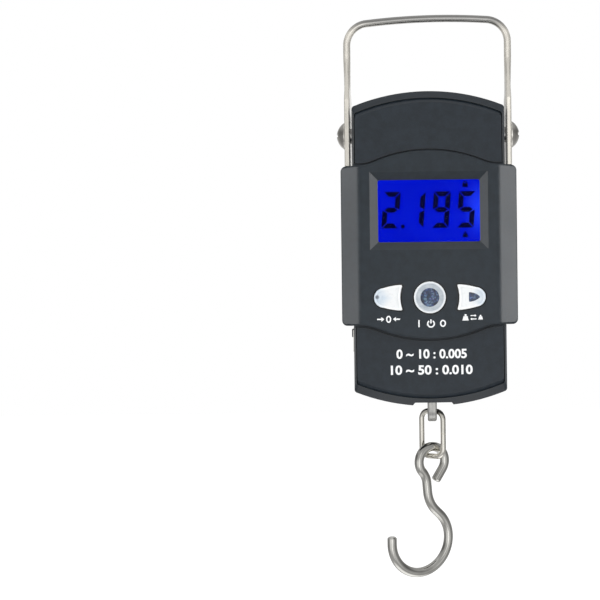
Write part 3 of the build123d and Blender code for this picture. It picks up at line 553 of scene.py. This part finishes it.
def oval_zero(x, z, width, height, stroke, sides=32):
    """A slim zero as two half rings."""
    halves = []
    for start in (90, -90):
        angles = [radians(start + 180 * i / sides) for i in range(sides + 1)]
        outer = [(x + width / 2 * cos(a), z + height / 2 * sin(a)) for a in angles]
        inner = [(x + (width / 2 - stroke) * cos(a), z + (height / 2 - stroke) * sin(a)) for a in angles]
        halves.append(outer + inner[::-1])
    return halves


# Display --------------------------------------------------------------------------------------

DIGIT_W = 6.3 * MM
DIGIT_H = 13.5 * MM
SEGMENT_T = 1.85 * MM
SEGMENT_GAP = 0.12 * MM
DIGIT_SLANT = 4.6
DIGIT_MIDDLES = (-14.0 * MM, -4.75 * MM, 4.55 * MM, 13.85 * MM)
DIGIT_BASE_Z = CASE_Z + 7.35 * MM
SEGMENTS_OF = {
    "0": "abcdef", "1": "bc", "2": "abged", "3": "abgcd", "4": "fgbc",
    "5": "afgcd", "6": "afgedc", "7": "abc", "8": "abcdefg", "9": "abcdfg",
}
READING = "2195"


def segment(letter):
    """Outline of one segment in a digit's own box, from (0, 0) to (DIGIT_W, DIGIT_H)."""
    w, h, t, g = DIGIT_W, DIGIT_H, SEGMENT_T, SEGMENT_GAP
    mid = h / 2
    upper = [(0, h - g * 2), (t, h - t - g * 2), (t, mid + t / 2 + g), (0, mid + g)]
    across = [(g * 2, h), (w - g * 2, h), (w - t - g, h - t), (t + g, h - t)]
    shapes = {
        "a": across,
        "d": [(x, h - z) for x, z in across],
        "f": upper,
        "b": [(w - x, z) for x, z in upper],
        "e": [(x, h - z) for x, z in upper],
        "c": [(w - x, h - z) for x, z in upper],
        "g": [
            (g + t * 0.3, mid), (t + g, mid - t / 2), (w - t - g, mid - t / 2),
            (w - g - t * 0.3, mid), (w - t - g, mid + t / 2), (t + g, mid + t / 2),
        ],
    }
    return shapes[letter]


def display_reading():
    lean = tan(radians(DIGIT_SLANT))
    outlines = []
    for digit, middle in zip(READING, DIGIT_MIDDLES):
        left = middle - DIGIT_W / 2 - DIGIT_H / 2 * lean
        for letter in SEGMENTS_OF[digit]:
            outlines.append([(left + x + z * lean, DIGIT_BASE_Z + z) for x, z in segment(letter)])
    outlines.append(disc(-9.7 * MM, DIGIT_BASE_Z + 0.65 * MM, 0.72 * MM))
    lock_x, lock_z = 13.5 * MM, CASE_Z + 23.1 * MM
    outlines.append(oblong(lock_x, lock_z, 2.0 * MM, 1.5 * MM))
    outlines.append(arc_band(lock_x, lock_z + 0.78 * MM, 0.62 * MM, 0.38 * MM, 0, 180, 14))
    outlines += weight_sign(13.4 * MM, CASE_Z + 4.9 * MM, 2.2 * MM)
    front_y = LCD_LOW.y - 0.03 * MM
    plates("display_reading", outlines, front_y, 0.025 * MM, display_segments(), "case")


# Printed marks --------------------------------------------------------------------------------

INK_DEPTH = 0.02 * MM
CAPTION_Z = CASE_Z - 26.2 * MM
POWER_CAPTION_Z = CASE_Z - 27.9 * MM
NUMBER_ROWS = (("0 ~ 10 : 0.005", 26.0, 0.4, -37.4), ("10 ~ 50 : 0.010", 30.2, 0.4, -43.3))
NUMBER_HEIGHT = 3.55 * MM


def printed_marks(ink):
    stroke = 0.5 * MM
    left = -15.2 * MM
    marks = [arrow(left - 2.9 * MM, CAPTION_Z, 2.6 * MM, 1.7 * MM, stroke)]
    marks += oval_zero(left, CAPTION_Z, 1.9 * MM, 2.6 * MM, stroke)
    marks.append(arrow(left + 2.9 * MM, CAPTION_Z, -2.6 * MM, 1.7 * MM, stroke))

    middle = 0.3 * MM
    marks.append(oblong(middle - 4.4 * MM, POWER_CAPTION_Z, stroke, 2.6 * MM))
    marks.append(arc_band(middle, POWER_CAPTION_Z - 0.1 * MM, 1.2 * MM, stroke, -235, 55))
    marks.append(oblong(middle, POWER_CAPTION_Z + 0.75 * MM, stroke, 1.5 * MM))
    marks += oval_zero(middle + 4.4 * MM, POWER_CAPTION_Z, 2.2 * MM, 2.6 * MM, stroke)

    right = 15.7 * MM
    right_z = CAPTION_Z + 0.4 * MM
    marks += weight_sign(right - 2.7 * MM, right_z, 2.3 * MM)
    marks.append(arrow(right + 0.2 * MM, right_z + 0.62 * MM, 2.2 * MM, 1.0 * MM, 0.35 * MM))
    marks.append(arrow(right + 0.2 * MM, right_z - 0.62 * MM, -2.2 * MM, 1.0 * MM, 0.35 * MM))
    marks += weight_sign(right + 2.8 * MM, right_z, 1.7 * MM)
    plates("button_marks", marks, FASCIA_FRONT_Y - INK_DEPTH, INK_DEPTH, ink, "case")


def numbers(name, text, width, height, x, z, front_y, ink, body, weight=0.03, depth=INK_DEPTH):
    """A row of numbers, fitted to a width and a digit height, as a closed mesh."""
    curve = bpy.data.curves.new(name + "_letters", "FONT")
    curve.body = text
    curve.size = 1.0
    curve.offset = weight
    curve.resolution_u = 4
    curve.extrude = 0.5
    curve.align_x = "LEFT"
    source = bpy.data.objects.new(name + "_letters", curve)
    bpy.context.scene.collection.objects.link(source)
    bpy.context.view_layer.update()
    mesh = bpy.data.meshes.new_from_object(source.evaluated_get(bpy.context.evaluated_depsgraph_get()))
    bpy.data.objects.remove(source)
    bpy.data.curves.remove(curve)
    low_x = min(v.co.x for v in mesh.vertices)
    high_x = max(v.co.x for v in mesh.vertices)
    low_y = min(v.co.y for v in mesh.vertices)
    high_y = max(v.co.y for v in mesh.vertices)
    scale_x = width / (high_x - low_x)
    scale_z = height / (high_y - low_y)
    for v in mesh.vertices:
        px, py, pz = v.co
        v.co = (
            x + (px - (low_x + high_x) / 2) * scale_x,
            front_y + (0.5 - pz) * depth,
            z + (py - low_y) * scale_z,
        )
    mesh.update()
    return finish_piece(name, mesh, ink, body)


def range_numbers(ink):
    for index, (text, width, x, z) in enumerate(NUMBER_ROWS):
        foot = CASE_Z + z * MM - NUMBER_HEIGHT
        numbers(
            f"range_numbers_{index + 1}", text, width * MM, NUMBER_HEIGHT, x * MM, foot,
            CASE_FRONT_Y - INK_DEPTH, ink, "case",
        )


# Tape graduations -----------------------------------------------------------------------------


def tape_scale(ink):
    """A line each millimetre, longer ones at 5 and 10, and the centimetres as numbers."""
    low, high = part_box("tape_strip")
    foot = low.z + 0.25 * MM
    lines = []
    for step in range(1, 52):
        tall = 2.6 if step % 10 == 0 else 1.9 if step % 5 == 0 else 1.2
        x = low.x + step * MM
        lines.append(oblong(x, foot + tall * MM / 2, 0.16 * MM, tall * MM))
    plates("tape_lines", lines, low.y - 0.012 * MM, 0.012 * MM, ink, "tape")
    for centimetre in range(1, 6):
        numbers(
            f"tape_number_{centimetre}", str(centimetre), 1.0 * MM, 1.9 * MM,
            low.x + (centimetre * 10 - 1.2) * MM, foot + 3.0 * MM, low.y - 0.012 * MM,
            ink, "tape", depth=0.012 * MM,
        )


# Studio ---------------------------------------------------------------------------------------

FLOOR_DROP = 0.28
FLOOR_HALF = 3.0
FLOOR_GLOW = 0.75
WORLD_STRENGTH = 3.0
# Level of the surround by direction on the horizon: 0 is towards the viewer, 1 is behind the object
WALL_STOPS = [
    (0.0, 0.30), (0.10, 0.30), (0.18, 0.21), (0.25, 0.13), (0.37, 0.085),
    (0.60, 0.07), (0.82, 0.11), (0.93, 0.24), (1.0, 0.28),
]
# Factor by height on the walls: 0 is straight down, 1 is straight up
HEIGHT_STOPS = [(0.2, 1.0), (0.42, 1.08), (0.5, 1.0), (0.58, 0.66), (0.8, 0.62)]
# Factor from left to right: raised just right of the middle, and cut off sharply beyond it
SIDE_STOPS = [
    (0.0, 1.0), (0.40, 0.86), (0.48, 1.0), (0.53, 1.75),
    (0.60, 1.75), (0.64, 0.62), (0.80, 0.75), (1.0, 1.0),
]
# Level of the ends of the surround: 0 is straight down, 1 is straight up
END_STOPS = [(0.0, 0.46), (0.05, 0.36), (0.11, 0.13), (0.5, 0.13), (0.88, 0.13), (1.0, 0.22)]
# Share of the ends against the walls, by height
END_SHARE = [(0.18, 1.0), (0.32, 0.0), (0.68, 0.0), (0.82, 1.0)]

# Name, position from the middle of the object, width and height, power, and whether it lights
# the case and panel plastics only
LIGHTS = [
    ("key", (-0.80, -0.72, 0.16), (0.6, 0.8), 6.6, False),
    ("fill", (0.80, -0.72, 0.05), (0.6, 0.8), 6.4, False),
    ("left_strip", (-0.88, -0.29, 0.04), (0.55, 0.8), 4.6, True),
    ("right_strip", (0.88, -0.29, 0.14), (0.55, 0.8), 6.8, True),
    ("top_strip", (0, -0.42, 0.86), (0.9, 0.35), 1.0, True),
]


def add_floor():
    """A plain pale floor below the object, lit from within like a light table."""
    z = CAD_BOX[0].z - FLOOR_DROP
    half = FLOOR_HALF
    corners = [(-half, -half, z), (half, -half, z), (half, half, z), (-half, half, z)]
    mesh = bpy.data.meshes.new("floor")
    mesh.from_pydata(corners, [], [(0, 1, 2, 3)])
    s = Shader("floor_paper", (0.9, 0.9, 0.9), 0.9)
    s.drive(s.ramp(s.noise(9, detail=4.0), [(0.3, 0.885), (0.7, 0.91)]), "Base Color")
    s.set("Emission Color", (1, 1, 1, 1))
    s.set("Emission Strength", FLOOR_GLOW)
    mesh.materials.append(s.material)
    floor = bpy.data.objects.new("floor", mesh)
    floor.visible_glossy = False
    floor.visible_diffuse = False
    bpy.context.scene.collection.objects.link(floor)


def add_area(name, position, target, size, power, only=None):
    """A soft panel. only: the objects that it lights; None lights everything, without a reflection."""
    data = bpy.data.lights.new(name, "AREA")
    data.shape = "RECTANGLE"
    data.size, data.size_y = size
    data.energy = power
    light = bpy.data.objects.new(name, data)
    light.location = position
    light.rotation_euler = (Vector(target) - Vector(position)).to_track_quat("-Z", "Y").to_euler()
    light.visible_camera = False
    if only is None:
        light.visible_glossy = False
    else:
        receivers = bpy.data.collections.new(name + "_receivers")
        for lit in only:
            receivers.objects.link(lit)
        light.light_linking.receiver_collection = receivers
    bpy.context.scene.collection.objects.link(light)


def add_world():
    """Soft surround: bright in front and behind, dark at the sides, white where seen directly."""
    world = bpy.data.worlds.new("studio")
    world.use_nodes = True
    bpy.context.scene.world = world
    tree = world.node_tree
    tree.nodes.clear()

    def add(kind, **settings):
        node = tree.nodes.new(kind)
        for key, value in settings.items():
            setattr(node, key, value)
        return node

    place = add("ShaderNodeTexCoord")
    parts = add("ShaderNodeSeparateXYZ")
    tree.links.new(place.outputs["Generated"], parts.inputs[0])
    level = add("ShaderNodeCombineXYZ")
    tree.links.new(parts.outputs["X"], level.inputs["X"])
    tree.links.new(parts.outputs["Y"], level.inputs["Y"])
    unit = add("ShaderNodeVectorMath", operation="NORMALIZE")
    tree.links.new(level.outputs[0], unit.inputs[0])
    around = add("ShaderNodeSeparateXYZ")
    tree.links.new(unit.outputs[0], around.inputs[0])

    def ramp(source, low, high, stops):
        span = add("ShaderNodeMapRange")
        span.inputs["From Min"].default_value = low
        span.inputs["From Max"].default_value = high
        tree.links.new(source, span.inputs["Value"])
        node = add("ShaderNodeValToRGB")
        elements = node.color_ramp.elements
        while len(elements) < len(stops):
            elements.new(0.5)
        for element, (position, value) in zip(elements, stops):
            element.position = position
            element.color = (value, value, value, 1)
        tree.links.new(span.outputs["Result"], node.inputs["Fac"])
        return node.outputs["Color"]

    walls = ramp(around.outputs["Y"], -1, 1, WALL_STOPS)
    heights = ramp(parts.outputs["Z"], -1, 1, HEIGHT_STOPS)
    sides = ramp(around.outputs["X"], -1, 1, SIDE_STOPS)

    def multiply(a, b):
        node = add("ShaderNodeMix", data_type="RGBA", blend_type="MULTIPLY")
        node.inputs[0].default_value = 1.0
        tree.links.new(a, node.inputs[6])
        tree.links.new(b, node.inputs[7])
        return node.outputs[2]

    shaded = multiply(multiply(walls, heights), sides)
    ends = ramp(parts.outputs["Z"], -1, 1, END_STOPS)
    where = ramp(parts.outputs["Z"], -1, 1, END_SHARE)
    both = add("ShaderNodeMix", data_type="RGBA")
    tree.links.new(where, both.inputs[0])
    tree.links.new(shaded, both.inputs[6])
    tree.links.new(ends, both.inputs[7])
    lighting = add("ShaderNodeBackground")
    lighting.inputs["Strength"].default_value = WORLD_STRENGTH
    tree.links.new(both.outputs[2], lighting.inputs["Color"])
    seen = add("ShaderNodeBackground")
    seen.inputs["Color"].default_value = (1, 1, 1, 1)
    seen.inputs["Strength"].default_value = 1.0
    path = add("ShaderNodeLightPath")
    choose = add("ShaderNodeMixShader")
    tree.links.new(path.outputs["Is Camera Ray"], choose.inputs[0])
    tree.links.new(lighting.outputs[0], choose.inputs[1])
    tree.links.new(seen.outputs[0], choose.inputs[2])
    tree.links.new(choose.outputs[0], add("ShaderNodeOutputWorld").inputs["Surface"])


add_camera()
dress_cad_nodes()
white_ink = print_ink()
black_ink = print_black()
display_reading()
printed_marks(white_ink)
range_numbers(white_ink)
tape_scale(black_ink)
add_floor()
add_world()
centre = (CAD_BOX[0] + CAD_BOX[1]) / 2
plastics = [
    frame["nodes"][part["node"]]
    for part in frame["record"]["subparts"]
    if part["material_slot"] in ("case_plastic", "fascia_plastic")
]
for name, (x, y, rise), size, power, plastics_only in LIGHTS:
    place = (x, y, centre.z + rise)
    add_area(name, place, centre, size, power, plastics if plastics_only else None)
bpy.context.scene.view_settings.view_transform = "Standard"
